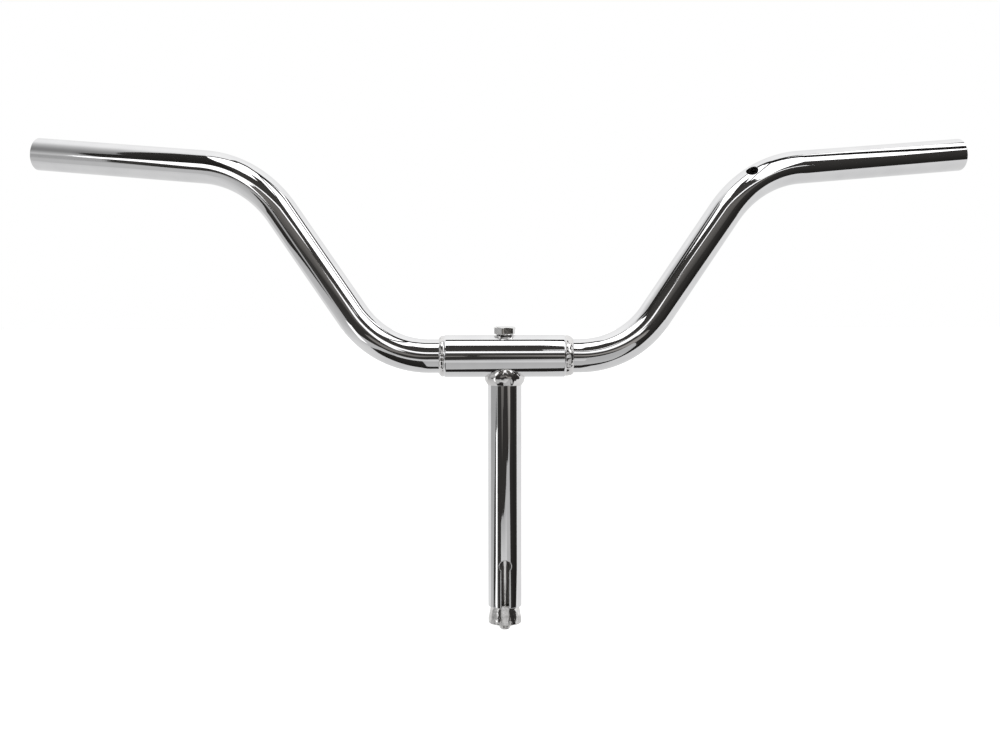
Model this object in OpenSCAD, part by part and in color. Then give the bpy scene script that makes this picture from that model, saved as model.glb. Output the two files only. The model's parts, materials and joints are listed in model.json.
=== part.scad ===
// High-rise handlebar for a moped: a bent tube, welded to a stem that an expander cone clamps in the fork.
// The origin is on the stem's axis at the foot of its weld, where the fork's steering tube ends.
// +Z runs up the stem, +X to the rider's left and +Y back towards the rider. Sizes are in millimetres.

/* [Bent bar] */
// Outside diameter of the bar
bar_d = 22; // [20:0.5:25]
// Wall of the bar
bar_wall = 1.5; // [1:0.25:3]
// Height of the bar's middle above the foot of the stem's weld
bar_height = 19.5; // [18:0.5:30]
// Straight length from the middle to each lower bend
middle_half_len = 49; // [48:1:90]
// Centreline radius of the lower bends
lower_bend_r = 60.5; // [40:0.5:120]
// Angle of the lower bends
lower_bend_angle = 55.5; // [30:0.5:80]
// How far the risers lean back
riser_lean = 10.5; // [0:0.5:30]
// Straight length of each riser
riser_len = 84; // [40:1:200]
// Turn about the riser from the lower bend's plane to the upper bend's plane
upper_bend_roll = -161; // [-180:1:-120]
// Centreline radius of the upper bends
upper_bend_r = 75.5; // [40:0.5:120]
// Angle of the upper bends
upper_bend_angle = 49; // [30:0.5:80]
// Straight length of each grip end
grip_len = 125.5; // [100:0.5:160]

/* [Wiring hole] */
// Diameter of the hole for the switch wires
wire_hole_d = 8; // [5:0.5:12]
// Angle along the upper bend to the hole
wire_hole_along = 22.5; // [5:0.5:40]
// Angle around the bar from the inside of the bend to the hole
wire_hole_around = 213; // [0:1:359]

/* [Centre sleeve] */
// Outside diameter of the sleeve
sleeve_d = 27.5; // [26:0.5:32]
// Length of the sleeve
sleeve_len = 80; // [60:1:84]
// Length of the weld bead at each end of the sleeve
sleeve_weld_len = 5.5; // [3:0.5:6]

/* [Stem] */
// Outside diameter of the stem
stem_d = 22; // [20:0.5:25.5]
// Wall of the stem
stem_wall = 1.5; // [1:0.25:2.5]
// Length of the stem below its weld
stem_len = 146; // [100:1:200]
// Width of the two slots at the stem's foot
slot_w = 5; // [3:0.5:6]
// Length of the slots, from the foot to the middle of the round end
slot_len = 28; // [15:1:50]
// Diameter of the round end of the slots
slot_end_d = 7.5; // [6:0.5:9]

/* [Expander] */
// Diameter of the bolt's shank and thread
bolt_d = 8; // [6:0.5:8]
// Width of the bolt's head across the flats
head_af = 13; // [11:0.5:14]
// Turn of the head about the bolt's axis
head_turn = 16; // [0:1:59]
// How far the bolt stands out below the cone
bolt_stand_out = 4.4; // [2:0.1:8]
// Diameter of the cone at its foot
cone_d = 21.8; // [20:0.1:21.9]
// Diameter of the cone at its top
cone_top_d = 17.9; // [15:0.1:18]
// Height of the whole cone
cone_h = 13; // [12:0.5:20]
// How far the cone stands inside the stem
cone_inside = 1.5; // [0.5:0.1:3]

/* [Hidden] */
$fn = 96;

chrome = "gainsboro";
bright_weld = "silver";
zinc = "darkgray";

// Every cut passes this far through the surfaces that it opens
through = 1;

bar_r = bar_d / 2;
bar_bore_r = bar_r - bar_wall;
// The bar's straight lengths run this far into its bends
bend_overlap = 0.5;
// The bends are a hair thinner than the straights, so that both their skins lie inside the straights' wall
bend_hair = 0.03;
sleeve_r = sleeve_d / 2;
stem_r = stem_d / 2;
stem_bore_r = stem_r - stem_wall;

// The bolt passes the sleeve and the bar with half a millimetre to spare all round
bolt_hole_d = bolt_d + 1;
// The thread turns in the cone with a running clearance
thread_gap = 0.05;

washer_face_h = 0.5;
washer_face_d = head_af - 1.4;
head_h = 4.8;
// The head is seated on the sleeve's crown
head_seat_z = bar_height + sleeve_r;
thread_len = 28;
tip_chamfer = 1.2;

cone_top_z = cone_inside - stem_len;
cone_base_z = cone_top_z - cone_h;
bolt_tip_z = cone_base_z - bolt_stand_out;
cone_band_h = 2.7;
cone_chamfer = 0.5;
key_w = slot_w - 0.2;
key_r = cone_d / 2 - 0.2;

// Beyond the stem, the weld is this wide from its shoulder up to where it slopes back to the stem
stem_weld_leg = 2.4;
stem_weld_shoulder_z = 5;
stem_weld_slope_z = 6.5;
stem_weld_top_z = bar_height - 8;
// The weld has melted this far into the stem
stem_weld_bite = 0.2;

// A straight length of the bar along +Z, that runs on past both its ends
module straight(len, past_start = bend_overlap, past_end = bend_overlap) {
    translate([0, 0, -past_start]) difference() {
        cylinder(h = past_start + len + past_end, r = bar_r);
        translate([0, 0, -through])
            cylinder(h = past_start + len + past_end + 2 * through, r = bar_bore_r);
    }
}

// Moves its children along a bend that starts along +Z and turns towards +X
module along_bend(radius, angle) {
    translate([radius, 0, 0]) rotate([0, angle, 0]) translate([-radius, 0, 0]) children();
}

// A bend of the bar that starts along +Z and turns towards +X
module bend(radius, angle) {
    translate([radius, 0, 0]) rotate([90, 0, 180]) rotate_extrude(angle = angle)
        translate([radius, 0]) difference() {
            circle(r = bar_r - bend_hair);
            circle(r = bar_bore_r + bend_hair);
        }
}

// Each of the next modules places its children on the bar's left half, with +Z along the bar
// towards the grip and +X towards the inside of the bend that follows
module at_lower_bend() {
    translate([middle_half_len, 0, bar_height])
        rotate([-riser_lean, 0, 0]) rotate([0, 90, 0]) rotate([0, 0, 180])
        children();
}

module at_riser() {
    at_lower_bend() along_bend(lower_bend_r, lower_bend_angle) children();
}

module at_upper_bend() {
    at_riser() translate([0, 0, riser_len]) rotate([0, 0, upper_bend_roll]) children();
}

module at_grip() {
    at_upper_bend() along_bend(upper_bend_r, upper_bend_angle) children();
}

// Everything beyond the straight middle, on the left side
module half_bar() {
    at_lower_bend() bend(lower_bend_r, lower_bend_angle);
    at_riser() straight(riser_len);
    at_upper_bend() bend(upper_bend_r, upper_bend_angle);
    at_grip() straight(grip_len, past_end = 0);
}

// The hole opens one wall of the bar, on the outside of the upper bend
module wire_hole() {
    at_upper_bend() along_bend(upper_bend_r, wire_hole_along) rotate([0, 0, wire_hole_around])
        rotate([0, 90, 0]) cylinder(h = bar_r + through, d = wire_hole_d);
}

// The bolt's way down through the bar and the sleeve
module bolt_hole() {
    translate([0, 0, bar_height - sleeve_r - through])
        cylinder(h = sleeve_d + 2 * through, d = bolt_hole_d);
}

// A solid cylinder along the bar's middle, centred on the stem
module along_middle(len, r) {
    translate([-len / 2, 0, bar_height]) rotate([0, 90, 0]) cylinder(h = len, r = r);
}

module handlebar_tube() {
    color(chrome) difference() {
        union() {
            translate([-middle_half_len, 0, bar_height]) rotate([0, 90, 0])
                straight(2 * middle_half_len);
            half_bar();
            mirror([1, 0, 0]) half_bar();
        }
        bolt_hole();
        wire_hole();
    }
}

module centre_sleeve() {
    color(chrome) difference() {
        along_middle(sleeve_len, sleeve_r);
        along_middle(sleeve_len + 2 * through, bar_r);
        bolt_hole();
    }
}

// A rounded fillet from the sleeve's end face down to the bar, on the side that side_x points to
module sleeve_weld(side_x) {
    leg = sleeve_r - bar_r;
    color(bright_weld) mirror([side_x < 0 ? 1 : 0, 0, 0]) translate([sleeve_len / 2, 0, bar_height])
        rotate([0, 90, 0]) rotate_extrude() polygon([
            [bar_r, 0],
            [sleeve_r - 0.1 * leg, 0],
            [sleeve_r - 0.1 * leg, 0.3 * sleeve_weld_len],
            [sleeve_r - 0.5 * leg, 0.8 * sleeve_weld_len],
            [bar_r, sleeve_weld_len],
        ]);
}

// The stem's top is cut to the sleeve's curve, and its foot is slotted front and back
module stem_tube() {
    color(chrome) difference() {
        union() {
            translate([0, 0, -stem_len]) cylinder(h = stem_len, r = stem_r);
            translate([0, 0, -stem_len])
                cylinder(h = stem_len + bar_height, r = stem_r - stem_weld_bite);
        }
        translate([0, 0, -stem_len - through])
            cylinder(h = stem_len + bar_height + 2 * through, r = stem_bore_r);
        along_middle(sleeve_len, sleeve_r);
        translate([-slot_w / 2, -stem_r - through, -stem_len - through])
            cube([slot_w, stem_d + 2 * through, slot_len + through]);
        translate([0, stem_r + through, slot_len - stem_len]) rotate([90, 0, 0])
            cylinder(h = stem_d + 2 * through, d = slot_end_d);
    }
}

module stem_weld() {
    color(bright_weld) difference() {
        rotate_extrude() polygon([
            [stem_r - stem_weld_bite, 0],
            [stem_r, 0],
            [stem_r + 0.4 * stem_weld_leg, 0.2 * stem_weld_shoulder_z],
            [stem_r + stem_weld_leg, stem_weld_shoulder_z],
            [stem_r + stem_weld_leg, stem_weld_slope_z],
            [stem_r, stem_weld_top_z],
            [stem_r - stem_weld_bite, stem_weld_top_z],
        ]);
        along_middle(sleeve_len, sleeve_r);
    }
}

module expander_bolt() {
    thread_r = bolt_d / 2 - thread_gap;
    shank_len = head_seat_z - bolt_tip_z - thread_len;
    color(zinc) {
        translate([0, 0, head_seat_z + washer_face_h]) rotate([0, 0, head_turn])
            cylinder(h = head_h, d = head_af / cos(30), $fn = 6);
        translate([0, 0, head_seat_z]) cylinder(h = washer_face_h, d = washer_face_d);
        translate([0, 0, head_seat_z - shank_len]) cylinder(h = shank_len, d = bolt_d);
        translate([0, 0, bolt_tip_z + tip_chamfer])
            cylinder(h = thread_len - tip_chamfer, r = thread_r);
        translate([0, 0, bolt_tip_z])
            cylinder(h = tip_chamfer, r1 = thread_r - tip_chamfer, r2 = thread_r);
    }
}

// Two keys on the cone ride in the stem's slots and stop it turning with the bolt
module expander_cone() {
    color(zinc) difference() {
        union() {
            translate([0, 0, cone_base_z]) rotate_extrude() polygon([
                [0, 0],
                [cone_d / 2 - cone_chamfer, 0],
                [cone_d / 2, cone_chamfer],
                [cone_d / 2, cone_chamfer + cone_band_h],
                [cone_top_d / 2, cone_h],
                [0, cone_h],
            ]);
            translate([-key_w / 2, -key_r, cone_base_z]) cube([key_w, 2 * key_r, cone_h]);
        }
        translate([0, 0, cone_base_z - through]) cylinder(h = cone_h + 2 * through, d = bolt_d);
    }
}

handlebar_tube();
centre_sleeve();
sleeve_weld(1);  // sleeve_weld_left
sleeve_weld(-1);  // sleeve_weld_right
stem_tube();
stem_weld();
expander_bolt();
expander_cone();
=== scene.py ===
import json
import math

import bmesh
import bpy
from mathutils import Matrix, Vector, noise


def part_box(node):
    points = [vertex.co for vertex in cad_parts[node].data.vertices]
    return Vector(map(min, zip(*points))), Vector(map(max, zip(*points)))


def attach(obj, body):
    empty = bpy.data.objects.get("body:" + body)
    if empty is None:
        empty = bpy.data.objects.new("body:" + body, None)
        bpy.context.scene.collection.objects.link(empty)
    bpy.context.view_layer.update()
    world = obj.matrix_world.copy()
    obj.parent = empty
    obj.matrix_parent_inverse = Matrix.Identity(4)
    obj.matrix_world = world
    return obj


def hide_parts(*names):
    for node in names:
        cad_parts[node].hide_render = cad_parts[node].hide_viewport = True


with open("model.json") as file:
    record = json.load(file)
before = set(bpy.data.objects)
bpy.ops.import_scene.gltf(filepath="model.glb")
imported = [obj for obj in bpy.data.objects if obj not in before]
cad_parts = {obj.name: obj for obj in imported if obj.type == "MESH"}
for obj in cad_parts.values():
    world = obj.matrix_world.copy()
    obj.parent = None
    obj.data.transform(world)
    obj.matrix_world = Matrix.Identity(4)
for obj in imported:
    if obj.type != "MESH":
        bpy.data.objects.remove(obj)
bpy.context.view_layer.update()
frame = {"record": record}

# A chromed moped handlebar. Every CAD node is redrawn here: the tubes get smooth skins with rounded
# edges, the welds get ripples, and the bolt and the cone get a real thread. Lengths of the object are in
# millimetres and turn into metres where a point is placed. +X is the rider's left, +Y points back to
# the rider and +Z runs up the stem.

MM = 0.001
mounts = {mount["name"]: mount for mount in frame["record"]["mounts"]}


def node_size(node):
    """The size of a CAD node along X, Y and Z, in millimetres."""
    low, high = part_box(node)
    return (Vector(high) - Vector(low)) / MM


def node_z(node):
    """The lowest and the highest Z of a CAD node, in millimetres."""
    low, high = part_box(node)
    return low[2] / MM, high[2] / MM


# Bar
BAR_R = mounts["left_grip_seat"]["dims"]["r_mm"]
BAR_BORE_R = mounts["left_bar_end"]["dims"]["r_mm"]
BAR_Z = sum(node_z("centre_sleeve")) / 2
MIDDLE_HALF = 49.0
LOWER_BEND_R = 60.5
LOWER_BEND_ANGLE = 55.5
RISER_LEAN = 10.5
RISER_LEN = 84.0
UPPER_BEND_ROLL = -161.0
UPPER_BEND_R = 75.5
UPPER_BEND_ANGLE = 49.0
GRIP_LEN = 125.5
WIRE_HOLE_R = mounts["wiring_hole"]["dims"]["r_mm"]
WIRE_HOLE_ALONG = 22.5
WIRE_HOLE_AROUND = 213.0

# Sleeve, stem and their welds
SLEEVE_R = node_size("centre_sleeve").z / 2
SLEEVE_HALF = node_size("centre_sleeve").x / 2
SLEEVE_BEAD_LEN = node_size("sleeve_weld_left").x
STEM_R = mounts["fork_stem"]["dims"]["r_mm"]
STEM_BORE_R = STEM_R - 1.5
STEM_FOOT = -mounts["fork_stem"]["dims"]["length_mm"]
SLOT_HALF = 2.5
SLOT_END_R = 3.75
SLOT_END_Z = STEM_FOOT + 28.0
BOLT_HOLE_R = 4.5

# Bolt and cone
BOLT_TIP_Z, BOLT_TOP_Z = node_z("expander_bolt")
BOLT_R = 4.0
PITCH = 1.25
THREAD_DEPTH = 0.68
THREAD_TOP_Z = BOLT_TIP_Z + 28.0
HEAD_SEAT_Z = BAR_Z + SLEEVE_R
WASHER_FACE_H = 0.5
WASHER_FACE_R = 5.8
HEAD_HALF_FLATS = 6.5
HEAD_TURN = 16.0
CONE_BASE_Z, CONE_TOP_Z = node_z("expander_cone")
CONE_R = node_size("expander_cone").x / 2
CONE_TOP_R = 8.95
CONE_BAND_TOP = 3.2
KEY_HALF = 2.4
KEY_R = CONE_R - 0.2

# How finely the skins are drawn
AROUND_STEPS = 96
LIP_STEPS = 4
HOLE_STEPS = 4
FIND_STEPS = 14
NUDGE = 0.01
SAME_POINT = 2e-6


def spread(start, end, steps):
    """Evenly spaced values from start to end, both included."""
    return [start + (end - start) * i / steps for i in range(steps + 1)]


def mix(a, b, share):
    return a + (b - a) * share


# ---------------------------------------------------------------- skins

class Skin:
    """The surface of one piece: points that carry their true normals, and the faces between them."""

    def __init__(self):
        self.mesh = bmesh.new()
        self.normal = self.mesh.verts.layers.float_vector.new("true_normal")
        self.bare = self.mesh.verts.layers.float.new("bare")

    def row(self, pairs):
        """New points from (place in mm, outward normal) pairs."""
        points = []
        for place, normal in pairs:
            point = self.mesh.verts.new(Vector(place) * MM)
            point[self.normal] = Vector(normal).normalized()
            points.append(point)
        return points

    def dull(self, rows, share):
        """Marks rows of points as unpolished, from 0 for a mirror to 1 for bare steel."""
        for row in rows:
            for point in row:
                point[self.bare] = share

    def strip(self, one, other, closed=False):
        """A band of faces between two rows of equal length."""
        count = len(one)
        for i in range(count if closed else count - 1):
            j = (i + 1) % count
            self.mesh.faces.new((one[i], one[j], other[j], other[i]))

    def ring(self, rows):
        """Faces over closed rows of (place, normal) pairs, with the last row joined to the first."""
        made = [self.row(pairs) for pairs in rows]
        for one, other in zip(made, made[1:] + made[:1]):
            self.strip(one, other, closed=True)

    def sheet(self, rows, closed=False):
        """Faces over rows of (place, normal) pairs."""
        made = [self.row(pairs) for pairs in rows]
        for one, other in zip(made, made[1:]):
            self.strip(one, other, closed)
        return made

    def grid(self, surface, alongs, arounds, windows=()):
        """Faces over a surface, leaving out the windows, which are index ranges. Gives back its rows."""
        rows = [self.row([surface(along, around) for around in arounds]) for along in alongs]
        for i, (one, other) in enumerate(zip(rows, rows[1:])):
            for j in range(len(arounds) - 1):
                if not any(window.holds(i, j) for window in windows):
                    self.mesh.faces.new((one[j], one[j + 1], other[j + 1], other[j]))
        return rows

    def close_gaps(self):
        """Drops unused points, joins points that share a place and fills any flat opening that is left."""
        unused = [vert for vert in self.mesh.verts if not vert.link_faces]
        bmesh.ops.delete(self.mesh, geom=unused, context="VERTS")
        bmesh.ops.remove_doubles(self.mesh, verts=self.mesh.verts, dist=SAME_POINT)
        bmesh.ops.dissolve_degenerate(self.mesh, edges=self.mesh.edges, dist=SAME_POINT)
        rim = [edge for edge in self.mesh.edges if edge.is_boundary]
        if rim:
            bmesh.ops.holes_fill(self.mesh, edges=rim, sides=0)

    def piece(self, name, material, true_normals=True):
        """The finished object with smooth faces, and with the true normals unless told otherwise."""
        self.close_gaps()
        bmesh.ops.recalc_face_normals(self.mesh, faces=self.mesh.faces)
        normals = [vert[self.normal].copy() for vert in self.mesh.verts]
        data = bpy.data.meshes.new(name)
        self.mesh.to_mesh(data)
        self.mesh.free()
        data.attributes.remove(data.attributes["true_normal"])
        data.shade_smooth()
        if true_normals:
            data.normals_split_custom_set_from_vertices(normals)
        data.materials.append(material)
        piece = bpy.data.objects.new(name, data)
        bpy.context.scene.collection.objects.link(piece)
        return piece


def lip(radius):
    """Steps round a rounded edge: how far back from the edge, how deep, and the turn of the normal."""
    steps = []
    for turn in spread(0, math.pi / 2, LIP_STEPS):
        steps.append((radius * (1 - math.sin(turn)), radius * (1 - math.cos(turn)), turn))
    return steps


# ---------------------------------------------------------------- tubes

class Straight:
    """A straight tube's centreline. Angles count from the first direction."""

    def __init__(self, origin, forward, first):
        self.origin = Vector(origin)
        self.forward = Vector(forward)
        self.first = Vector(first)
        self.second = self.forward.cross(self.first)

    def place(self, along, around, radius):
        """The point at this radius, with the radial and the forward direction there."""
        angle = math.radians(around)
        radial = math.cos(angle) * self.first + math.sin(angle) * self.second
        return self.origin + along * self.forward + radius * radial, radial, self.forward


def turn_z(degrees):
    return Matrix.Rotation(math.radians(degrees), 4, "Z")


def ahead(distance):
    return Matrix.Translation((0, 0, distance))


def along_bend(radius, degrees):
    """The move along a bend that starts along +Z and turns towards +X."""
    centre = Matrix.Translation((radius, 0, 0))
    return centre @ Matrix.Rotation(math.radians(degrees), 4, "Y") @ centre.inverted()


class BentBar:
    """The bar's centreline. Distance counts from the middle, and is negative on the rider's right."""

    def __init__(self):
        lean = Matrix.Rotation(math.radians(-RISER_LEAN), 4, "X")
        sideways = Matrix.Rotation(math.radians(90), 4, "Y")
        self.middle = Matrix.Translation((0, 0, BAR_Z)) @ lean @ sideways @ turn_z(180)
        self.lower = self.middle @ ahead(MIDDLE_HALF)
        self.riser = self.lower @ along_bend(LOWER_BEND_R, LOWER_BEND_ANGLE)
        self.upper = self.riser @ ahead(RISER_LEN) @ turn_z(UPPER_BEND_ROLL)
        self.grip = self.upper @ along_bend(UPPER_BEND_R, UPPER_BEND_ANGLE)
        self.lower_at = MIDDLE_HALF
        self.riser_at = self.lower_at + LOWER_BEND_R * math.radians(LOWER_BEND_ANGLE)
        self.upper_at = self.riser_at + RISER_LEN
        self.grip_at = self.upper_at + UPPER_BEND_R * math.radians(UPPER_BEND_ANGLE)
        self.end = self.grip_at + GRIP_LEN

    def frame_at(self, distance):
        """The frame on the left half, rolled so that its angles agree from one segment to the next."""
        if distance < self.lower_at:
            return self.middle @ ahead(distance) @ turn_z(UPPER_BEND_ROLL)
        if distance < self.riser_at:
            degrees = math.degrees((distance - self.lower_at) / LOWER_BEND_R)
            return self.lower @ along_bend(LOWER_BEND_R, degrees) @ turn_z(UPPER_BEND_ROLL)
        if distance < self.upper_at:
            return self.riser @ ahead(distance - self.riser_at) @ turn_z(UPPER_BEND_ROLL)
        if distance < self.grip_at:
            degrees = math.degrees((distance - self.upper_at) / UPPER_BEND_R)
            return self.upper @ along_bend(UPPER_BEND_R, degrees)
        return self.grip @ ahead(distance - self.grip_at)

    def place(self, along, around, radius):
        """The point at this radius, with the radial and the forward direction there."""
        here = self.frame_at(abs(along))
        angle = math.radians(around)
        turned = here.to_3x3()
        radial = turned @ Vector((math.cos(angle), math.sin(angle), 0))
        forward = turned @ Vector((0, 0, 1))
        point = here.translation + radius * radial
        if along >= 0:
            return point, radial, forward
        mirror = Vector((-1, 1, 1))
        return point * mirror, radial * mirror, -forward * mirror

    def around_of(self, direction):
        """The angle at the middle of the bar that faces a direction."""
        local = self.frame_at(0).to_3x3().inverted() @ Vector(direction)
        return math.degrees(math.atan2(local.y, local.x)) % 360


def skin_of(tube, radius, facing=1):
    """A tube's surface as a function of (along, around). Facing is -1 for a bore."""
    def surface(along, around):
        point, radial, _ = tube.place(along, around, radius)
        return point, facing * radial
    return surface


def rim(tube, end, outward, outer, bore, arounds, outer_lip, bore_lip):
    """Rows over a tube's end face and its two rounded edges, from the outer skin to the bore."""
    rows = []
    for radius, facing, steps in ((outer, 1, lip(outer_lip)), (bore, -1, reversed(lip(bore_lip)))):
        for back, drop, turn in steps:
            row = []
            for around in arounds:
                point, radial, forward = tube.place(end - outward * back, around, radius - facing * drop)
                row.append((point, math.cos(turn) * facing * radial + math.sin(turn) * outward * forward))
            rows.append(row)
    return rows


# ---------------------------------------------------------------- openings

class Window:
    """A range of a grid's faces that is left out, so that an opening can be fitted there."""

    def __init__(self, alongs, arounds, along_range, around_range):
        self.alongs = [i for i, along in enumerate(alongs) if within(along, along_range)]
        self.arounds = [j for j, around in enumerate(arounds) if within(around, around_range)]
        self.values = (alongs, arounds)

    def holds(self, i, j):
        return i in self.alongs[:-1] and j in self.arounds[:-1]

    def border(self):
        """The (along, around) places round the window, in order and without a repeat."""
        alongs = [self.values[0][i] for i in self.alongs]
        arounds = [self.values[1][j] for j in self.arounds]
        places = [(alongs[0], around) for around in arounds[:-1]]
        places += [(along, arounds[-1]) for along in alongs[:-1]]
        places += [(alongs[-1], around) for around in reversed(arounds[1:])]
        places += [(along, arounds[0]) for along in reversed(alongs[1:])]
        return places


def within(value, limits):
    return limits[0] <= value <= limits[1]


class Opening:
    """An opening cut straight through a tube's wall, square to the wall at its centre."""

    def __init__(self, tube, outer, bore, along, around):
        self.skins = (skin_of(tube, outer), skin_of(tube, bore, -1))
        self.start = (along, around)
        self.centre, self.axis = self.skins[0](along, around)
        self.side = (self.skins[0](along + NUDGE, around)[0] - self.centre).normalized()
        self.up = (self.skins[0](along, around + NUDGE)[0] - self.centre).normalized()

    def flat(self, skin, along, around):
        """Where a place on a skin lies in the opening's plane."""
        point = skin(along, around)[0] - self.centre
        return point.dot(self.side), point.dot(self.up)

    def find(self, skin, x, y):
        """The (along, around) place on a skin that lies at (x, y) in the opening's plane."""
        along, around = self.start
        for _ in range(FIND_STEPS):
            at_x, at_y = self.flat(skin, along, around)
            along += x - at_x
            around += math.degrees((y - at_y) / BAR_R)
        return along, around

    def fill(self, skin, border, outline, radius, steps):
        """Rows of one skin, from the window's border to where the rounded edge begins."""
        inner = [self.find(skin, x + radius * ax, y + radius * ay) for x, y, ax, ay in outline]
        rows = []
        for share in spread(0, 1, steps):
            places = [(mix(a[0], b[0], share), mix(a[1], b[1], share)) for a, b in zip(border, inner)]
            rows.append([skin(*place) for place in places])
        return rows

    def edge(self, skin, outline, radius):
        """Rows round the edge of one skin, into the opening's wall."""
        rows = []
        for back, drop, turn in lip(radius):
            row = []
            for x, y, ax, ay in outline:
                point, normal = skin(*self.find(skin, x + back * ax, y + back * ay))
                outward = math.copysign(1, normal.dot(self.axis))
                wall = -(ax * self.side + ay * self.up)
                turned = math.cos(turn) * normal + math.sin(turn) * wall
                row.append((point - drop * outward * self.axis, turned))
            rows.append(row)
        return rows

    def rows(self, border, outline, radius, steps):
        """All rows from the outer skin's border, through the opening, to the bore's border."""
        outer, bore = self.skins
        rows = self.fill(outer, border, outline, radius, steps)
        rows += self.edge(outer, outline, radius)[1:]
        rows += reversed(self.edge(bore, outline, radius))
        rows += list(reversed(self.fill(bore, border, outline, radius, steps)))[1:]
        return rows

    def round_rows(self, window, hole_radius, edge_radius):
        """The rows of a round hole inside a window."""
        border = window.border()
        outline = []
        for along, around in border:
            away = Vector(self.flat(self.skins[0], along, around)).normalized()
            outline.append((hole_radius * away.x, hole_radius * away.y, away.x, away.y))
        return self.rows(border, outline, edge_radius, HOLE_STEPS)


# ---------------------------------------------------------------- bar and sleeve

HOLE_MARGIN = 2.0
HOLE_REACH_AROUND = 36.0
EDGE_R = 0.3
BAR_LIP = 0.8
BAR_SEAM = 90.0
SLEEVE_LIP = 1.6
SLEEVE_STEPS = 44


def handlebar_tube(material):
    """One bent tube from end to end, with a hole for the wires and one for the bolt."""
    bar = BentBar()
    arounds = spread(BAR_SEAM, BAR_SEAM + 360, AROUND_STEPS)
    stretches = (
        (bar.lower_at, 28), (bar.riser_at, 38), (bar.upper_at, 10), (bar.grip_at, 32),
        (bar.end - BAR_LIP, 12),
    )
    half = [0]
    for end, steps in stretches:
        half += spread(half[-1], end, steps)[1:-1] + [end]
    alongs = [-along for along in reversed(half[1:])] + half

    wire_along = bar.upper_at + UPPER_BEND_R * math.radians(WIRE_HOLE_ALONG)
    places = [(wire_along, WIRE_HOLE_AROUND, WIRE_HOLE_R)]
    for direction in ((0, 0, 1), (0, 0, -1)):
        around = BAR_SEAM + (bar.around_of(direction) - BAR_SEAM) % 360
        places.append((0, around, BOLT_HOLE_R))

    skin = Skin()
    windows = []
    for along, around, radius in places:
        opening = Opening(bar, BAR_R, BAR_BORE_R, along, around)
        reach = radius + HOLE_MARGIN
        window = Window(
            alongs, arounds, (along - reach, along + reach),
            (around - HOLE_REACH_AROUND, around + HOLE_REACH_AROUND),
        )
        windows.append(window)
        skin.sheet(opening.round_rows(window, radius, EDGE_R), closed=True)
    skin.grid(skin_of(bar, BAR_R), alongs, arounds, windows)
    skin.dull(skin.grid(skin_of(bar, BAR_BORE_R, -1), alongs, arounds, windows), 1)
    for outward in (-1, 1):
        skin.sheet(rim(bar, outward * bar.end, outward, BAR_R, BAR_BORE_R, arounds, BAR_LIP, EDGE_R))
        bore = skin_of(bar, BAR_BORE_R, -1)
        ends = [outward * (bar.end - BAR_LIP), outward * (bar.end - EDGE_R)]
        skin.dull(skin.grid(bore, ends, arounds), 1)
    return skin.piece("bent_bar_tube", material)


def centre_sleeve(material):
    """The thick short tube that holds the middle of the bar."""
    tube = Straight((0, 0, BAR_Z), (1, 0, 0), (0, 1, 0))
    arounds = spread(0, 360, AROUND_STEPS)
    reach = SLEEVE_HALF - SLEEVE_LIP
    alongs = spread(-reach, reach, SLEEVE_STEPS)
    hole_reach = BOLT_HOLE_R + HOLE_MARGIN
    skin = Skin()
    windows = []
    for around in (90, 270):
        window = Window(
            alongs, arounds, (-hole_reach, hole_reach),
            (around - HOLE_REACH_AROUND, around + HOLE_REACH_AROUND),
        )
        windows.append(window)
        opening = Opening(tube, SLEEVE_R, BAR_R, 0, around)
        skin.sheet(opening.round_rows(window, BOLT_HOLE_R, EDGE_R), closed=True)
    for radius, facing in ((SLEEVE_R, 1), (BAR_R, -1)):
        skin.grid(skin_of(tube, radius, facing), alongs, arounds, windows)
    for outward in (-1, 1):
        end = outward * SLEEVE_HALF
        skin.sheet(rim(tube, end, outward, SLEEVE_R, BAR_R, arounds, SLEEVE_LIP, EDGE_R))
        skin.grid(skin_of(tube, BAR_R, -1), [outward * reach, end - outward * EDGE_R], arounds)
    return skin.piece("clamp_sleeve", material)


# ---------------------------------------------------------------- stem

SLOT_WINDOW = 36.0
SLOT_WINDOW_TOP = SLOT_END_Z + 8.0
FOOT_LIP = 0.35
SLOT_LIP = 0.7
SLOT_FILL = 6
SLOT_SIDE_STEPS = 8
SLOT_END_STEPS = 6
SLOT_ACROSS_STEPS = 16
STEM_SIDE_STEPS = 30
STEM_STEPS = 22
CUT_HAZE = 0.5


def stem_foot(pairs):
    """The extra points that round the lower edge over, from the lowest point inwards to the flat end."""
    extra = []
    for point, normal in pairs:
        column = []
        for back, drop, turn in lip(FOOT_LIP)[1:]:
            moved = Vector((point.x, point.y, STEM_FOOT + back)) - drop * normal
            column.append((moved, math.cos(turn) * normal + Vector((0, 0, -math.sin(turn)))))
        extra.append(column)
    return [list(row) for row in zip(*extra)]


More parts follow.
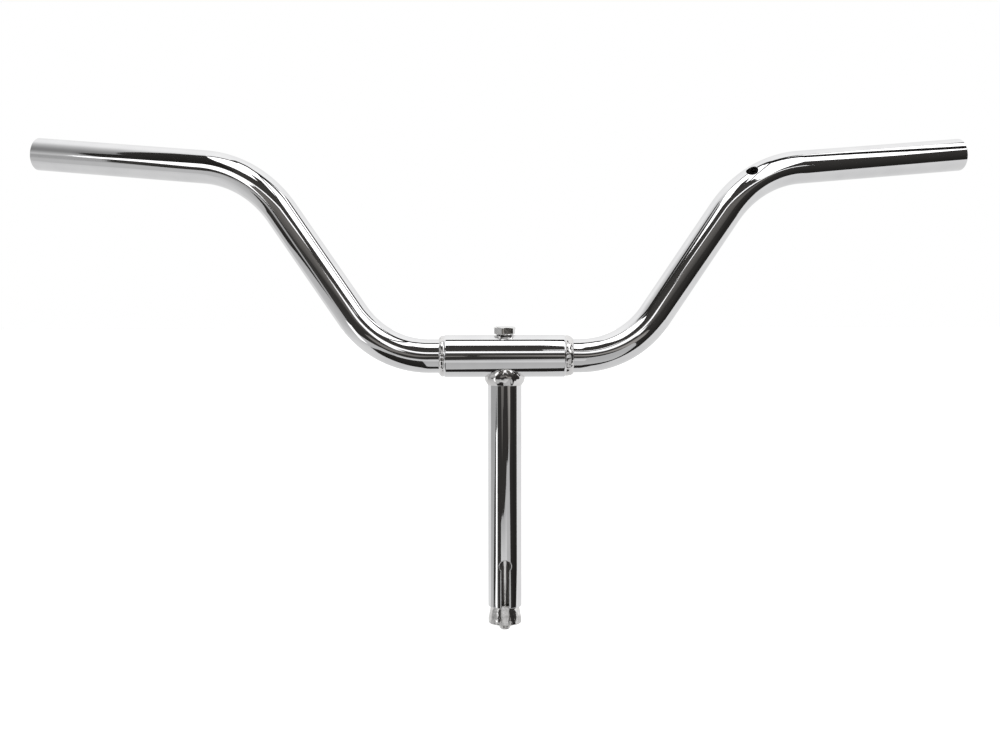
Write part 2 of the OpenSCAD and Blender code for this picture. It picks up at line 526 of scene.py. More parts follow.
def slot_path():
    """The slot's outline as (x, y, away x, away y), with x up the stem, and the border of its window.

    The heights and the angles of the border come with them, for the grids that join on.
    """
    neck = -math.sqrt(SLOT_END_R ** 2 - SLOT_HALF ** 2)
    ups = spread(STEM_FOOT + FOOT_LIP - SLOT_END_Z, neck, SLOT_SIDE_STEPS)
    sides = spread(SLOT_END_Z + neck, SLOT_WINDOW_TOP, SLOT_END_STEPS)
    across = spread(SLOT_WINDOW, -SLOT_WINDOW, SLOT_ACROSS_STEPS)
    corner = math.atan2(SLOT_HALF, neck)
    arc = spread(corner, -corner, 2 * (len(sides) - 1) + len(across) - 1)
    outline = [(x, SLOT_HALF, 0, 1) for x in ups[:-1]]
    for angle in arc:
        away = Vector((math.cos(angle), math.sin(angle)))
        if angle in (arc[0], arc[-1]):
            away = (away + Vector((0, math.copysign(1, angle)))).normalized()
        outline.append((SLOT_END_R * math.cos(angle), SLOT_END_R * math.sin(angle), away.x, away.y))
    outline += [(x, -SLOT_HALF, 0, -1) for x in reversed(ups[:-1])]
    border = [(SLOT_END_Z + x, SLOT_WINDOW) for x in ups[:-1]]
    border += [(z, SLOT_WINDOW) for z in sides]
    border += [(SLOT_WINDOW_TOP, around) for around in across[1:-1]]
    border += [(z, -SLOT_WINDOW) for z in reversed(sides)]
    border += [(SLOT_END_Z + x, -SLOT_WINDOW) for x in reversed(ups[:-1])]
    heights = [SLOT_END_Z + x for x in ups[:-1]] + sides
    return outline, border, heights, sorted(across)


def saddle_z(place):
    """Where a vertical line meets the underside of the sleeve."""
    return BAR_Z - math.sqrt(SLEEVE_R ** 2 - place.y ** 2)


def stem_tube(material):
    """The stem, slotted at the front and the back of its foot, with its top fitted to the sleeve."""
    tube = Straight((0, 0, 0), (0, 0, 1), (0, -1, 0))
    outline, border, heights, across = slot_path()
    skin = Skin()
    for centre in (0, 180):
        opening = Opening(tube, STEM_R, STEM_BORE_R, SLOT_END_Z, centre)
        shifted = [(along, centre + around) for along, around in border]
        rows = []
        for pairs in opening.rows(shifted, outline, SLOT_LIP, SLOT_FILL):
            start = [row[0] for row in stem_foot([pairs[0]])]
            end = [row[0] for row in stem_foot([pairs[-1]])]
            rows.append(list(reversed(start)) + pairs + end)
        made = skin.sheet(rows)
        skin.dull(made[SLOT_FILL + 1:], CUT_HAZE)
    side = spread(SLOT_WINDOW, 180 - SLOT_WINDOW, STEM_SIDE_STEPS)
    ring = across[:-1] + side[:-1]
    ring += [180 + around for around in across[:-1] + side]
    for radius, facing in ((STEM_R, 1), (STEM_BORE_R, -1)):
        surface = skin_of(tube, radius, facing)
        for centre in (0, 180):
            arounds = [centre + around for around in side]
            skin.dull(skin.grid(surface, heights, arounds), facing < 0)
            low = [surface(heights[0], around) for around in arounds]
            skin.sheet([low] + stem_foot(low))
        skin.dull(skin.grid(surface, spread(SLOT_WINDOW_TOP, 0, STEM_STEPS), ring), facing < 0)
    edges = []
    for radius, facing in ((STEM_R, 1), (STEM_BORE_R, -1)):
        surface = skin_of(tube, radius, facing)
        low = [surface(0, around) for around in ring]
        high = [(Vector((p.x, p.y, saddle_z(p))), n) for p, n in low]
        edges.append([low, high])
    skin.sheet([edges[0][0], edges[0][1], edges[1][1], edges[1][0]])
    return skin.piece("slotted_stem", material)


# ---------------------------------------------------------------- welds

RIPPLES = 16
RIPPLE_BODY = 0.6
RIPPLE_SLANT = 1.1
WANDER, WANDER_SIZE = 2.2, 9.0
SCALE_HEIGHT = 0.3
LUMP_HEIGHT, LUMP_SIZE = 0.75, 5.5
GRAIN_HEIGHT, GRAIN_SIZE = 0.08, 1.6
BEAD_STEPS = 18

SLEEVE_BEAD_STEPS = 216
BEAD_CREST = 0.4
BEAD_BACK = math.radians(40)
BEAD_SINK = 0.15
BEAD_BELOW_SLEEVE = 0.7
BEAD_ROOT = 1.0
LEFT_BEAD_REACH = SLEEVE_BEAD_LEN - 0.9
RIGHT_BEAD_REACH = SLEEVE_BEAD_LEN - 2.6

STEM_BEAD_STEPS = 240
STEM_BEAD_R = node_size("stem_weld").x / 2 - 0.3
STEM_BEAD_CORE = STEM_R - 0.12
STEM_BEAD_FRONT = 1.3
STEM_BEAD_START = 0.3
STEM_BEAD_GAP = 0.05
FRONT_TURN = math.radians(162)
SIDE_TURN = math.radians(99)


def lump(place, size, seed):
    """Smooth random height between about -1 and 1, with lumps of this size in millimetres."""
    return noise.noise(place / size + Vector((seed, 2.3 * seed, -seed)))


def ripple(place, share, phase, seed):
    """The height of a hand-laid bead: overlapping scales and lumps that die out at its two edges."""
    body = math.sin(math.pi * min(max(share, 0), 1)) ** RIPPLE_BODY
    wander = WANDER * lump(place, WANDER_SIZE, seed)
    scales = abs(math.sin(phase / 2 + wander + RIPPLE_SLANT * (share - 0.5)))
    lumps = LUMP_HEIGHT * lump(place, LUMP_SIZE, seed)
    grain = GRAIN_HEIGHT * lump(place, GRAIN_SIZE, seed + 5)
    return body * (SCALE_HEIGHT * scales + lumps + grain)


def bead(name, section, back, count, seed, material, rippled=1.0, height=1.0):
    """A closed ring of weld, rippled to this height over this share of its width from its foot.

    Section(angle, share) gives a point and its normal, back(angle) the hidden side.
    """
    rows = []
    for i in range(count):
        angle = math.tau * i / count
        row = []
        for share in spread(0, 1, BEAD_STEPS):
            point, normal = section(angle, share)
            rise = height * ripple(point, share / rippled, RIPPLES * angle, seed)
            row.append((point + rise * normal, normal))
        row.append((back(angle), Vector()))
        rows.append(row)
    skin = Skin()
    skin.ring(rows)
    return skin.piece(name, material, true_normals=False)


def sleeve_weld(name, outward, reach, seed, material):
    """The ring of weld between one end of the sleeve and the bar, as far out as its reach."""
    core = BAR_R - BEAD_SINK
    height = SLEEVE_R - BEAD_BELOW_SLEEVE - core

    def section(angle, share):
        radial = Vector((0, math.cos(angle), math.sin(angle)))
        turn = mix(-BEAD_BACK, math.pi / 2, share)
        out = math.sin(turn) * (reach - BEAD_CREST if turn > 0 else height)
        place = Vector((outward * (SLEEVE_HALF + BEAD_CREST + out), 0, BAR_Z))
        normal = radial * math.cos(turn) + Vector((outward, 0, 0)) * math.sin(turn)
        return place + (core + height * math.cos(turn)) * radial, normal

    def back(angle):
        radial = Vector((0, math.cos(angle), math.sin(angle)))
        return Vector((outward * (SLEEVE_HALF - BEAD_ROOT), 0, BAR_Z)) + core * radial

    return bead(name, section, back, SLEEVE_BEAD_STEPS, seed, material)


def stem_weld(name, seed, material):
    """The collar of weld round the top of the stem: a wide fillet at the sides, a tall roll in front."""
    def profile(angle, share):
        side = math.cos(angle) ** 2
        crest = mix(STEM_BEAD_FRONT, STEM_BEAD_R - STEM_BEAD_CORE, side)
        turn = mix(FRONT_TURN, SIDE_TURN, side)
        top_radius = STEM_BEAD_CORE + crest * math.sin(turn)
        top_z = saddle_z(Vector((0, top_radius * math.sin(angle), 0))) - STEM_BEAD_GAP
        radius = STEM_BEAD_CORE + crest * math.sin(turn * share)
        z = mix(STEM_BEAD_START, top_z, share)
        return Vector((radius * math.cos(angle), radius * math.sin(angle), z))

    def section(angle, share):
        slope = profile(angle, share + NUDGE) - profile(angle, share - NUDGE)
        side = Vector((-math.sin(angle), math.cos(angle), 0))
        return profile(angle, share), side.cross(slope).normalized()

    def back(angle):
        place = Vector((STEM_BEAD_CORE * math.cos(angle), STEM_BEAD_CORE * math.sin(angle), 0))
        place.z = saddle_z(place)
        return place

    return bead(name, section, back, STEM_BEAD_STEPS, seed, material, rippled=0.6, height=0.28)


# ---------------------------------------------------------------- bolt and cone

BOLT_AROUND_STEPS = 72
RINGS_A_TURN = 9
TIP_CHAMFER = 1.2
TIP_STEPS = 5
SHANK_STEPS = 12
THREAD_GAP = 0.05
HEAD_STEPS = 30
HEAD_TOP_BEVEL = math.radians(30)
HEAD_SEAT_BEVEL = math.radians(12)
CROWN_R = 0.93 * HEAD_HALF_FLATS
CORNER_R = 1.135 * HEAD_HALF_FLATS
SEAT_BREAK = 0.08


def polar(radius, around, z):
    """A place from its radius, its angle in degrees and its height."""
    angle = math.radians(around)
    return Vector((radius * math.cos(angle), radius * math.sin(angle), z))


def smooth(value, start, end):
    """0 below start, 1 above end and a soft step in between."""
    t = min(max((value - start) / (end - start), 0), 1)
    return t * t * (3 - 2 * t)


def thread_depth(z, around):
    """How deep the helical groove is at this height and angle."""
    share = (z / PITCH - around / 360) % 1
    groove = smooth(1 - abs(2 * share - 1), 0.12, 0.9)
    return THREAD_DEPTH * groove * smooth(THREAD_TOP_Z - z, 0, 2 * PITCH)


def hexagon_r(around):
    """The radius of the head's hexagon in this direction, its corners slightly rounded."""
    off = (around - HEAD_TURN) % 60 - 30
    return min(HEAD_HALF_FLATS / math.cos(math.radians(off)), CORNER_R)


def head_r(z, around):
    """The radius of the head at a height, with its corners bevelled at the top and at the seat."""
    from_top = CROWN_R + (BOLT_TOP_Z - z) / math.tan(HEAD_TOP_BEVEL)
    from_seat = WASHER_FACE_R + (z - HEAD_SEAT_Z - WASHER_FACE_H) / math.tan(HEAD_SEAT_BEVEL)
    return min(hexagon_r(around), from_top, max(from_seat, WASHER_FACE_R))


def threaded_r(z, around, radius):
    """The radius of the threaded end at a height, no more than the chamfered tip allows."""
    if z < THREAD_TOP_Z:
        return min(radius, BOLT_R - thread_depth(z, around)) - THREAD_GAP
    return radius


def expander_bolt(material):
    """The long hexagon-head bolt, with a real helical thread at its lower end."""
    arounds = [HEAD_TURN + around for around in spread(0, 360, BOLT_AROUND_STEPS)[:-1]]
    thread_start = BOLT_TIP_Z + TIP_CHAMFER
    tip_r = BOLT_R - TIP_CHAMFER
    steps = round((THREAD_TOP_Z - thread_start) / PITCH * RINGS_A_TURN)
    tip = [(BOLT_TIP_Z, tip_r)]
    tip += [(BOLT_TIP_Z + rise, tip_r + rise) for rise in spread(0.1, TIP_CHAMFER - THREAD_GAP, TIP_STEPS)]
    tip += [(z, BOLT_R - THREAD_GAP) for z in spread(thread_start, THREAD_TOP_Z, steps)]
    shank = [(z, BOLT_R) for z in spread(THREAD_TOP_Z + 0.3, HEAD_SEAT_Z - 0.1, SHANK_STEPS)]
    shank += [(HEAD_SEAT_Z, BOLT_R + 0.1), (HEAD_SEAT_Z, WASHER_FACE_R - SEAT_BREAK)]
    shank += [(HEAD_SEAT_Z + SEAT_BREAK, WASHER_FACE_R), (HEAD_SEAT_Z + WASHER_FACE_H, WASHER_FACE_R)]
    crown = [(BOLT_TOP_Z, CROWN_R), (BOLT_TOP_Z, 0.8 * CROWN_R)]

    rows = []
    for z, radius in tip:
        rows.append([polar(threaded_r(z, around, radius), around, z) for around in arounds])
    for z, radius in shank:
        rows.append([polar(radius, around, z) for around in arounds])
    for z in spread(HEAD_SEAT_Z + WASHER_FACE_H, BOLT_TOP_Z - 0.02, HEAD_STEPS):
        rows.append([polar(head_r(z, around), around, z) for around in arounds])
    for z, radius in crown:
        rows.append([polar(radius, around, z) for around in arounds])

    skin = Skin()
    skin.sheet([[(place, Vector()) for place in row] for row in rows], closed=True)
    return skin.piece("hex_expander_bolt", material, true_normals=False)


CONE_CHAMFER = 0.5
CONE_TOP_LIP = 0.45
CONE_BORE_R = BOLT_R + 0.05
CONE_THREAD_DEPTH = 0.35
CONE_FLARE = 0.6
KEY_CORNER = 0.35
CONE_RINGS_A_TURN = 7


def cone_radius(z):
    """The cone's radius at a height, with the foot's chamfer and the band that meets the stem."""
    rise = z - CONE_BASE_Z
    tapered = CONE_TOP_Z - CONE_BASE_Z - CONE_BAND_TOP
    taper = mix(CONE_R, CONE_TOP_R, max(rise - CONE_BAND_TOP, 0) / tapered)
    return min(taper, CONE_R - CONE_CHAMFER + rise)


def cone_outline(z):
    """The outline of the cone and its two keys at a height, as places in the XY plane."""
    radius = cone_radius(z)
    key_y = KEY_R - 0.15
    if z < CONE_BASE_Z + CONE_CHAMFER:
        key_y = min(key_y, radius - 0.1)
    edge = math.sqrt(radius ** 2 - KEY_HALF ** 2)
    corner_x = KEY_HALF - KEY_CORNER
    corner_y = key_y - KEY_CORNER
    quarter = [(x, key_y) for x in spread(0, corner_x, 4)]
    for turn in spread(0, math.pi / 2, 3)[1:]:
        quarter.append((corner_x + KEY_CORNER * math.sin(turn), corner_y + KEY_CORNER * math.cos(turn)))
    step_y = min(edge, corner_y)
    quarter += [(KEY_HALF, mix(corner_y, step_y, share)) for share in (0.5, 1.0)]
    for turn in spread(math.atan2(edge, KEY_HALF), 0, 22)[1:]:
        quarter.append((radius * math.cos(turn), radius * math.sin(turn)))
    right = quarter + [(x, -y) for x, y in reversed(quarter[:-1])]
    return right + [(-x, y) for x, y in reversed(right[1:-1])]


def cone_bore_r(z, around):
    """The radius of the threaded bore, flared at both ends."""
    flare = max(CONE_FLARE - (CONE_TOP_Z - z), CONE_FLARE - (z - CONE_BASE_Z), 0)
    if flare:
        return CONE_BORE_R + flare
    share = (z / PITCH - around / 360) % 1
    return CONE_BORE_R + CONE_THREAD_DEPTH * smooth(abs(2 * share - 1), 0.3, 0.9)


def expander_cone(material):
    """The cast cone that spreads the foot of the stem, with a key for each slot."""
    height = CONE_TOP_Z - CONE_BASE_Z
    rises = spread(0, CONE_CHAMFER, 4) + spread(0.7, CONE_BAND_TOP, 5)
    rises += spread(CONE_BAND_TOP + 0.3, height - 0.5, 12)
    rows = []
    for rise in rises:
        z = CONE_BASE_Z + rise
        rows.append([Vector((x, y, z)) for x, y in cone_outline(z)])
    for back, drop, _ in lip(CONE_TOP_LIP)[1:]:
        z = CONE_TOP_Z - back
        flats = [Vector((x, y, 0)) for x, y in cone_outline(z)]
        rows.append([flat * (1 - drop / flat.length) + Vector((0, 0, z)) for flat in flats])
    arounds = [math.degrees(math.atan2(y, x)) for x, y in cone_outline(CONE_BASE_Z + 1.5)]
    for z in spread(CONE_TOP_Z, CONE_BASE_Z, round(height / PITCH * CONE_RINGS_A_TURN)):
        rows.append([polar(cone_bore_r(z, around), around, z) for around in arounds])
    skin = Skin()
    skin.ring([[(place, Vector()) for place in row] for row in rows])
    return skin.piece("cast_expander_cone", material, true_normals=False)


# ---------------------------------------------------------------- materials

# Places of the colour sockets of the Mix node
MIX_FIRST, MIX_SECOND, MIX_COLOUR = 6, 7, 2

# Lumps a metre of each noise, and the height of each bump in metres
CHROME_HAZE, CHROME_POLISH, CHROME_WAVE, CHROME_GRAIN = 60, 170, 45, 900
CHROME_WAVE_HEIGHT, CHROME_GRAIN_HEIGHT = 0.0006, 0.00006
ZINC_CLOUDS, ZINC_POLISH, ZINC_LUMPS = 260, 500, 420
ZINC_LUMP_HEIGHT, ZINC_GRAIN_HEIGHT = 0.0012, 0.0002

BARE_STEEL = 140
BARE_METALLIC = 0.3
BARE_ROUGHNESS = 0.55
BARE_DARK = (0.2, 0.19, 0.18)
BARE_LIGHT = (0.36, 0.35, 0.34)


class Surface:
    """A small helper that grows one node tree."""

    def __init__(self, name):
        self.material = bpy.data.materials.new(name)
        self.material.use_nodes = True
        self.tree = self.material.node_tree
        self.shader = self.tree.nodes["Principled BSDF"]
        self.place = self.tree.nodes.new("ShaderNodeTexCoord").outputs["Object"]

    def node(self, kind, **settings):
        made = self.tree.nodes.new(kind)
        for key, value in settings.items():
            setattr(made, key, value)
        return made

    def join(self, source, target):
        self.tree.links.new(source, target)

    def noise(self, scale, detail=3.0, roughness=0.55, stretch=(1, 1, 1)):
        """A noise value from 0 to 1 over the object, at this many lumps a metre."""
        mapping = self.node("ShaderNodeMapping")
        mapping.inputs["Scale"].default_value = stretch
        self.join(self.place, mapping.inputs["Vector"])
        made = self.node("ShaderNodeTexNoise")
        made.inputs["Scale"].default_value = scale
        made.inputs["Detail"].default_value = detail
        made.inputs["Roughness"].default_value = roughness
        self.join(mapping.outputs["Vector"], made.inputs["Vector"])
        return made.outputs["Fac"]

    def ramp(self, value, stops):
        """Colours or greys between stops, given as (position, colour) pairs."""
        made = self.node("ShaderNodeValToRGB")
        ramp = made.color_ramp
        while len(ramp.elements) < len(stops):
            ramp.elements.new(0.5)
        for element, (position, colour) in zip(ramp.elements, stops):
            element.position = position
            element.color = (*colour, 1)
        self.join(value, made.inputs["Fac"])
        return made.outputs["Color"]

    def levels(self, value, low, high, start=0.0):
        """The value's range from start to 1 stretched to low to high, and held there outside it."""
        made = self.node("ShaderNodeMapRange")
        made.inputs["From Min"].default_value = start
        made.inputs["To Min"].default_value = low
        made.inputs["To Max"].default_value = high
        self.join(value, made.inputs["Value"])
        return made.outputs["Result"]

    def blend(self, share, one, other):
        """One colour at share 0 and the other at share 1."""
        made = self.node("ShaderNodeMix", data_type="RGBA")
        self.join(share, made.inputs["Factor"])
        self.join(one, made.inputs[MIX_FIRST])
        self.join(other, made.inputs[MIX_SECOND])
        return made.outputs[MIX_COLOUR]

    def add(self, one, other):
        made = self.node("ShaderNodeMath", operation="ADD")
        self.join(one, made.inputs[0])
        self.join(other, made.inputs[1])
        return made.outputs["Value"]

    def bump(self, value, strength, distance, under=None):
        made = self.node("ShaderNodeBump")
        made.inputs["Strength"].default_value = strength
        made.inputs["Distance"].default_value = distance
        self.join(value, made.inputs["Height"])
        if under:
            self.join(under, made.inputs["Normal"])
        return made.outputs["Normal"]


def chrome(name, dark, light, rough_low, rough_high, wave, grain):
    """Bright chrome with a slight wave and a trace of haze, which turns to dull bare steel in a bore."""
    s = Surface(name)
    bare = s.node("ShaderNodeAttribute", attribute_name="bare").outputs["Fac"]
    unplated = s.levels(bare, 0, 1, CUT_HAZE)
    s.join(s.levels(unplated, 1.0, BARE_METALLIC), s.shader.inputs["Metallic"])
    plated = s.ramp(s.noise(CHROME_HAZE, 4), [(0.3, dark), (0.7, light)])
    steel = s.ramp(s.noise(BARE_STEEL, 5), [(0.3, BARE_DARK), (0.7, BARE_LIGHT)])
    s.join(s.blend(unplated, plated, steel), s.shader.inputs["Base Color"])
    polish = s.levels(s.noise(CHROME_POLISH, 5, 0.65), rough_low, rough_high)
    s.join(s.add(polish, s.levels(bare, 0, BARE_ROUGHNESS)), s.shader.inputs["Roughness"])
    waves = s.bump(s.noise(CHROME_WAVE, 1, 0.4), wave, CHROME_WAVE_HEIGHT)
    fine = s.bump(s.noise(CHROME_GRAIN, 3, 0.6), grain, CHROME_GRAIN_HEIGHT, waves)
    s.join(fine, s.shader.inputs["Normal"])
    return s.material


def zinc(name, dark, light, rough_low, rough_high, grain_scale, grain, lumps):
    """Zinc: a bright grey metal with a cloudy colour, a fine grain and the lumps of its casting."""
    s = Surface(name)
    s.shader.inputs["Metallic"].default_value = 1.0
    clouds = s.noise(ZINC_CLOUDS, 5, 0.6)
    s.join(s.ramp(clouds, [(0.32, dark), (0.68, light)]), s.shader.inputs["Base Color"])
    s.join(s.levels(s.noise(ZINC_POLISH, 4), rough_low, rough_high), s.shader.inputs["Roughness"])
    cast = s.bump(s.noise(ZINC_LUMPS, 2, 0.5), lumps, ZINC_LUMP_HEIGHT)
    fine = s.bump(s.noise(grain_scale, 4, 0.7), grain, ZINC_GRAIN_HEIGHT, cast)
    s.join(fine, s.shader.inputs["Normal"])
    return s.material


# ---------------------------------------------------------------- pieces

def build_pieces():
    """Every piece of the object, each on its own body and standing for its CAD node."""
    tube = chrome(
        "chrome_tube", (0.86, 0.86, 0.87), (0.93, 0.93, 0.935),
        rough_low=0.015, rough_high=0.06, wave=0.02, grain=0.02,
    )
    weld = chrome(
        "chrome_weld", (0.78, 0.77, 0.76), (0.93, 0.92, 0.92),
        rough_low=0.03, rough_high=0.12, wave=0.1, grain=0.3,
    )
    bolt = zinc(
        "zinc_bolt", (0.84, 0.83, 0.82), (0.95, 0.95, 0.94),
        rough_low=0.05, rough_high=0.13, grain_scale=2500, grain=0.06, lumps=0.02,
    )
    cone = zinc(
        "zinc_cone", (0.62, 0.61, 0.6), (0.96, 0.95, 0.94),
        rough_low=0.04, rough_high=0.12, grain_scale=1500, grain=0.12, lumps=0.22,
    )
    left_bead = sleeve_weld("sleeve_bead_left", 1, LEFT_BEAD_REACH, 3.0, weld)
    right_bead = sleeve_weld("sleeve_bead_right", -1, RIGHT_BEAD_REACH, 8.0, weld)
    made = [
        (handlebar_tube(tube), "root", "handlebar_tube", "chrome_tube"),
        (centre_sleeve(tube), "root", "centre_sleeve", "chrome_tube"),
        (left_bead, "root", "sleeve_weld_left", "chrome_weld"),
        (right_bead, "root", "sleeve_weld_right", "chrome_weld"),
        (stem_tube(tube), "root", "stem_tube", "chrome_tube"),
        (stem_weld("stem_bead", 5.0, weld), "root", "stem_weld", "chrome_weld"),
        (expander_bolt(bolt), "bolt", "expander_bolt", "zinc_bolt"),
        (expander_cone(cone), "cone", "expander_cone", "zinc_cone"),
    ]
    for piece, body, node, slot in made:
        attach(piece, body)
        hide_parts(node)


# ---------------------------------------------------------------- studio

AIM = Vector((-0.0031, -0.0008, 0.0067))
CAMERA_DISTANCE = 0.9
CAMERA_AZIMUTH = -1.27
CAMERA_ELEVATION = 4.33
CAMERA_ROLL = -0.07
LENS = 49.52
SENSOR_WIDTH = 36
FLOOR_Z = -0.215
FLOOR_SIZE = 12.0
FLOOR_SHADE = 0.9
FLOOR_ROUGHNESS = 0.9
FLOOR_GLOW = 0.4
WALL_LOW, WALL_HIGH = 0.62, 0.95
STUDIO_R = 1.2
STRIP_STEPS = 16
NO_TURN = 1e-6
WARMTH = 0.1
WARM_BELOW = 0.4

# The lit and the dark things that the chrome mirrors, as the camera's side of the room would be seen
# from the object. Each has its shades from its lower to its upper edge, how far out it stands as a
# share of the room's size, and a strip of (right, low, high) places in degrees from the camera.
STUDIO = {
    "dark_room": ((0.014, 0.02, 0.028, 0.035, 0.045, 0.03, 0.008), 2.7, (
        (-83, -28, -23), (-76, -25, -16), (-68, -22, -12), (-59, -20, -9),
        (-57, -15.2, -14.8), (-50.3, -15.2, -14.8), (-49.8, -17, -11), (-48.6, -23, -3),
        (-47.1, -30, 10), (-45.8, -60, 31), (-43, -64, 37), (-39, -68, 50), (-37, -70, 59),
        (-34, -73, 70), (-30, -76, 80), (-12, -88, 88), (-6, -98, 99), (6, -98, 99), (12, -88, 93),
        (18, -78, 91), (25, -74, 89), (40, -62, 85), (50, -52, 85), (54, -46, 87), (58, -38, 86),
        (62, -32, 82), (66, -28, 74), (70, -26, 60), (74, -26, 14), (90, -23, 0),
    )),
    "left_softbox": ((1.7, 1.7, 1.7), 2.5, (
        (-34, 57, 66), (-31, 55, 74), (-26, 46, 76), (-18, 43, 80), (-7, 45, 84), (-5, 59, 88),
        (5, 59, 88), (7, 48, 84), (12, 46, 82),
    )),
    "right_softbox": ((1.7, 1.7, 1.7), 2.5, (
        (15, 42, 83), (20, 39, 82), (25, 32, 81), (31, 24, 81), (36, 19, 82), (40, 16, 83),
        (42, 22, 83), (44, 36, 84), (50, 28, 83), (53, 32, 76), (55, 42, 71), (58, 55, 65),
    )),
    "softbox_frame": ((0.006, 0.006), 2.4, (
        (12, 78, 84), (20, 74, 82), (30, 70, 80), (39, 66, 80), (44, 59, 74), (47.5, 51, 66),
        (50, 44, 60), (54, 36, 52), (57, 32, 46),
    )),
    "side_curtain": ((0.012, 0.02, 0.03), 0.99, (
        (-49, 24, 33), (-44, 24, 74), (-38, 27, 76), (-33, 30, 46),
    )),
    "left_haze": ((0.03, 0.09, 0.12, 0.15, 0.12), 0.98, (
        (-46, 0, 3), (-38, 2, 14), (-30, 4, 19), (-20, 8, 22), (-10, 6, 25), (-5, 4, 27),
    )),
    "right_haze": ((0.03, 0.07, 0.1, 0.13, 0.1), 0.98, (
        (-2, 4, 27), (8, 6, 28), (15, 3, 27), (25, 5, 25), (35, 4, 19), (44, 3, 14), (50, 6, 12),
    )),
    "left_strip": ((1.3, 1.3), 0.6, (
        (-42, 22, 24.5), (-28, 25.5, 28.5), (-14, 28, 31), (-6.5, 29.5, 32.5),
    )),
    "right_strip": ((1.3, 1.3), 0.6, (
        (6.5, 29, 32), (14, 30, 33), (24, 30, 33), (38, 26, 28.5), (48, 21, 23), (57, 16.5, 18.5),
    )),
    "camera_light": ((0.5, 1.3, 1.3, 1.3), 0.97, (
        (-9, 3, 10), (-6.5, 6, 18), (-5, 14, 24), (0, 15, 24), (5, 15, 24), (8, 15, 25), (11, 11, 17),
        (15, 11, 14), (18, 8, 10),
    )),
    "side_reflector": ((1.5, 1.5, 1.5), 0.97, (
        (-56, 9, 13), (-52, 7, 18), (-50, 0, 19), (-47, 2, 21), (-42, 10, 22), (-38, 14, 21), (-35, 17, 20),
    )),
    "left_arm": ((0.1, 0.22, 0.16), 0.96, (
        (-25, -9, -5), (-18, -15, 1), (-12, -11, 1), (-7, -11, 1), (0, -4, 1),
    )),
    "right_arm": ((0.14, 0.34, 0.22), 0.96, (
        (1, -2, 1), (8, -5, 3), (16, -8, 1), (22, -12, 1), (30, -18, -2), (37, -13, -8),
    )),
    "lower_reflector": ((0.5, 0.48, 0.45, 0.47), 0.95, (
        (-7, -75, -27), (-3, -79, -23), (8, -72, -17), (14, -64, -15), (22, -61, -15), (30, -60, -13),
        (36, -58, -20), (41, -50, -28), (43, -38, -30),
    )),
    "stem_reflector": ((0.55, 0.66, 0.6, 0.4), 0.5, (
        (-25, -34, -24), (-18, -35, -23), (-9, -36, -23), (0, -37, -22), (8, -37, -20), (14, -36, -19),
    )),
    "stem_glint": ((1.3, 1.3, 1.3), 0.5, (
        (-61, -37, -15), (-51, -36, -14),
    )),
    "left_reflector": ((0.5, 0.5, 0.5), 2.6, (
        (-9, -34, -26), (-22, -35, -21), (-33, -38, -24), (-44, -46, -26), (-52, -48, -22), (-60, -48, -26),
    )),
    "left_wall": ((
        0.65, 0.62, 0.58, 0.5, 0.46, 0.39, 0.35, 0.56, 0.38, 0.24, 0.23, 0.3, 0.42, 0.55, 0.75, 0.9, 0.9,
    ), 2.9, (
        (-110, -64, 96), (-80, -64, 96), (-60, -64, 96), (-32, -64, 96),
    )),
}


def add_camera():
    azimuth, elevation = math.radians(CAMERA_AZIMUTH), math.radians(CAMERA_ELEVATION)
    out = Vector((
        math.sin(azimuth) * math.cos(elevation),
        -math.cos(azimuth) * math.cos(elevation),
        math.sin(elevation),
    ))
    data = bpy.data.cameras.new("camera")
    data.lens = LENS
    data.sensor_width = SENSOR_WIDTH
    camera = bpy.data.objects.new("camera", data)
    camera.location = AIM + CAMERA_DISTANCE * out
    look = (-out).to_track_quat("-Z", "Y")
    roll = Matrix.Rotation(math.radians(CAMERA_ROLL), 3, "Z")
    camera.rotation_euler = (look.to_matrix() @ roll).to_euler()
    bpy.context.scene.collection.objects.link(camera)
    bpy.context.scene.camera = camera
    return camera


def glow(name, shades):
    """A material that only gives off light, shaded from the lower to the upper edge of its strip."""
    material = bpy.data.materials.new(name)
    material.use_nodes = True
    tree = material.node_tree
    tree.nodes.clear()
    rise = tree.nodes.new("ShaderNodeAttribute")
    rise.attribute_name = "rise"
    ramp = tree.nodes.new("ShaderNodeValToRGB")
    elements = ramp.color_ramp.elements
    while len(elements) < len(shades):
        elements.new(0.5)
    brightest = max(shades)
    warmth = WARMTH if brightest < WARM_BELOW else 0
    for i, (element, shade) in enumerate(zip(elements, shades)):
        level = shade / brightest
        element.position = i / (len(shades) - 1)
        element.color = (level, level * (1 - warmth / 2), level * (1 - warmth), 1)
    light = tree.nodes.new("ShaderNodeEmission")
    light.inputs["Strength"].default_value = brightest
    output = tree.nodes.new("ShaderNodeOutputMaterial")
    tree.links.new(rise.outputs["Fac"], ramp.inputs["Fac"])
    tree.links.new(ramp.outputs["Color"], light.inputs["Color"])
    tree.links.new(light.outputs["Emission"], output.inputs["Surface"])
    return material


def room_point(right, up, distance):
    """A place in the rig's frame: +Z points to the camera, +X is the picture's right."""
    off = math.hypot(right, up)
    turn = math.radians(off)
    share = math.sin(turn) / max(off, NO_TURN)
    return Vector((right * share, up * share, math.cos(turn))) * distance


def only_mirrored(piece):
    """Leaves an object in reflections and takes it out of everything else."""
    piece.visible_camera = False
    piece.visible_diffuse = False
    piece.visible_shadow = False
    piece.visible_transmission = False


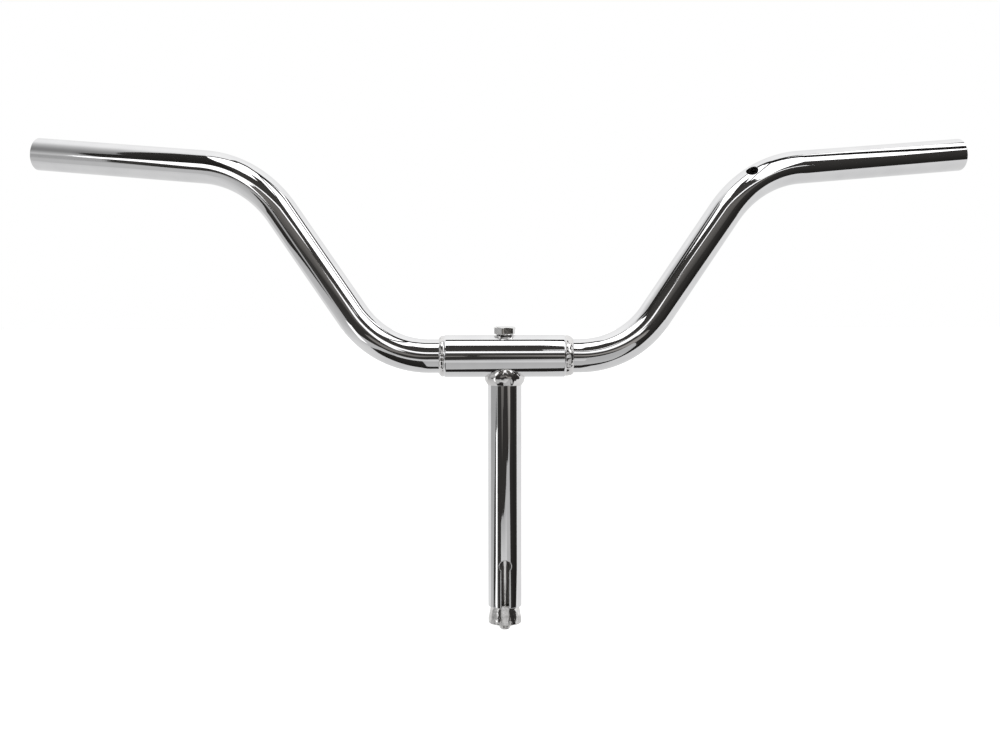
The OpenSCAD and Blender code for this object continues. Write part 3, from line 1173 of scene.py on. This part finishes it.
def studio_card(name, shades, distance, columns):
    """One glowing strip of the room, whose points know how far they are up the strip."""
    mesh = bmesh.new()
    rise = mesh.verts.layers.float.new("rise")
    rows = []
    for right, low, high in columns:
        row = []
        for step in spread(0, 1, STRIP_STEPS):
            point = mesh.verts.new(room_point(right, mix(low, high, step), distance))
            point[rise] = step
            row.append(point)
        rows.append(row)
    for one, other in zip(rows, rows[1:]):
        for i in range(STRIP_STEPS):
            mesh.faces.new((one[i], one[i + 1], other[i + 1], other[i]))
    data = bpy.data.meshes.new(name)
    mesh.to_mesh(data)
    mesh.free()
    data.materials.append(glow(name, shades))
    card = bpy.data.objects.new(name, data)
    bpy.context.scene.collection.objects.link(card)
    only_mirrored(card)
    return card


def build_studio(camera):
    """The room round the object. It turns with the camera, so the chrome looks alike from every side."""
    rig = bpy.data.objects.new("studio_rig", None)
    rig.location = AIM
    bpy.context.scene.collection.objects.link(rig)
    follow = rig.constraints.new("COPY_ROTATION")
    follow.target = camera
    for name, (shades, share, columns) in STUDIO.items():
        studio_card(name, shades, STUDIO_R * share, columns).parent = rig


def build_floor():
    """A plain pale floor, so bright that it runs into the white backdrop, and clear from below."""
    bpy.ops.mesh.primitive_plane_add(size=FLOOR_SIZE, location=(0, 0, FLOOR_Z))
    floor = bpy.context.object
    floor.name = "floor"
    material = bpy.data.materials.new("floor_paper")
    material.use_nodes = True
    tree = material.node_tree
    shader = tree.nodes["Principled BSDF"]
    shader.inputs["Base Color"].default_value = (FLOOR_SHADE, FLOOR_SHADE, FLOOR_SHADE, 1)
    shader.inputs["Roughness"].default_value = FLOOR_ROUGHNESS
    shader.inputs["Emission Color"].default_value = (1, 1, 1, 1)
    shader.inputs["Emission Strength"].default_value = FLOOR_GLOW
    below = tree.nodes.new("ShaderNodeNewGeometry")
    clear = tree.nodes.new("ShaderNodeBsdfTransparent")
    choose = tree.nodes.new("ShaderNodeMixShader")
    tree.links.new(below.outputs["Backfacing"], choose.inputs["Fac"])
    tree.links.new(shader.outputs["BSDF"], choose.inputs[1])
    tree.links.new(clear.outputs["BSDF"], choose.inputs[2])
    tree.links.new(choose.outputs["Shader"], tree.nodes["Material Output"].inputs["Surface"])
    floor.data.materials.append(material)
    floor.visible_glossy = False


def build_world():
    """White for the camera, and a pale wall with a brighter top for everything else."""
    world = bpy.data.worlds.new("studio")
    world.use_nodes = True
    tree = world.node_tree
    wall = tree.nodes["Background"]
    backdrop = tree.nodes.new("ShaderNodeBackground")
    backdrop.inputs["Color"].default_value = (1, 1, 1, 1)
    place = tree.nodes.new("ShaderNodeTexCoord").outputs["Generated"]
    split = tree.nodes.new("ShaderNodeSeparateXYZ")
    tree.links.new(place, split.inputs["Vector"])
    shade = tree.nodes.new("ShaderNodeMapRange")
    shade.inputs["From Min"].default_value = -1
    shade.inputs["From Max"].default_value = 1
    shade.inputs["To Min"].default_value = WALL_LOW
    shade.inputs["To Max"].default_value = WALL_HIGH
    tree.links.new(split.outputs["Z"], shade.inputs["Value"])
    tree.links.new(shade.outputs["Result"], wall.inputs["Color"])
    path = tree.nodes.new("ShaderNodeLightPath")
    choose = tree.nodes.new("ShaderNodeMixShader")
    tree.links.new(path.outputs["Is Camera Ray"], choose.inputs["Fac"])
    tree.links.new(wall.outputs["Background"], choose.inputs[1])
    tree.links.new(backdrop.outputs["Background"], choose.inputs[2])
    tree.links.new(choose.outputs["Shader"], tree.nodes["World Output"].inputs["Surface"])
    bpy.context.scene.world = world
    bpy.context.scene.view_settings.view_transform = "Standard"


build_pieces()
build_studio(add_camera())
build_floor()
build_world()
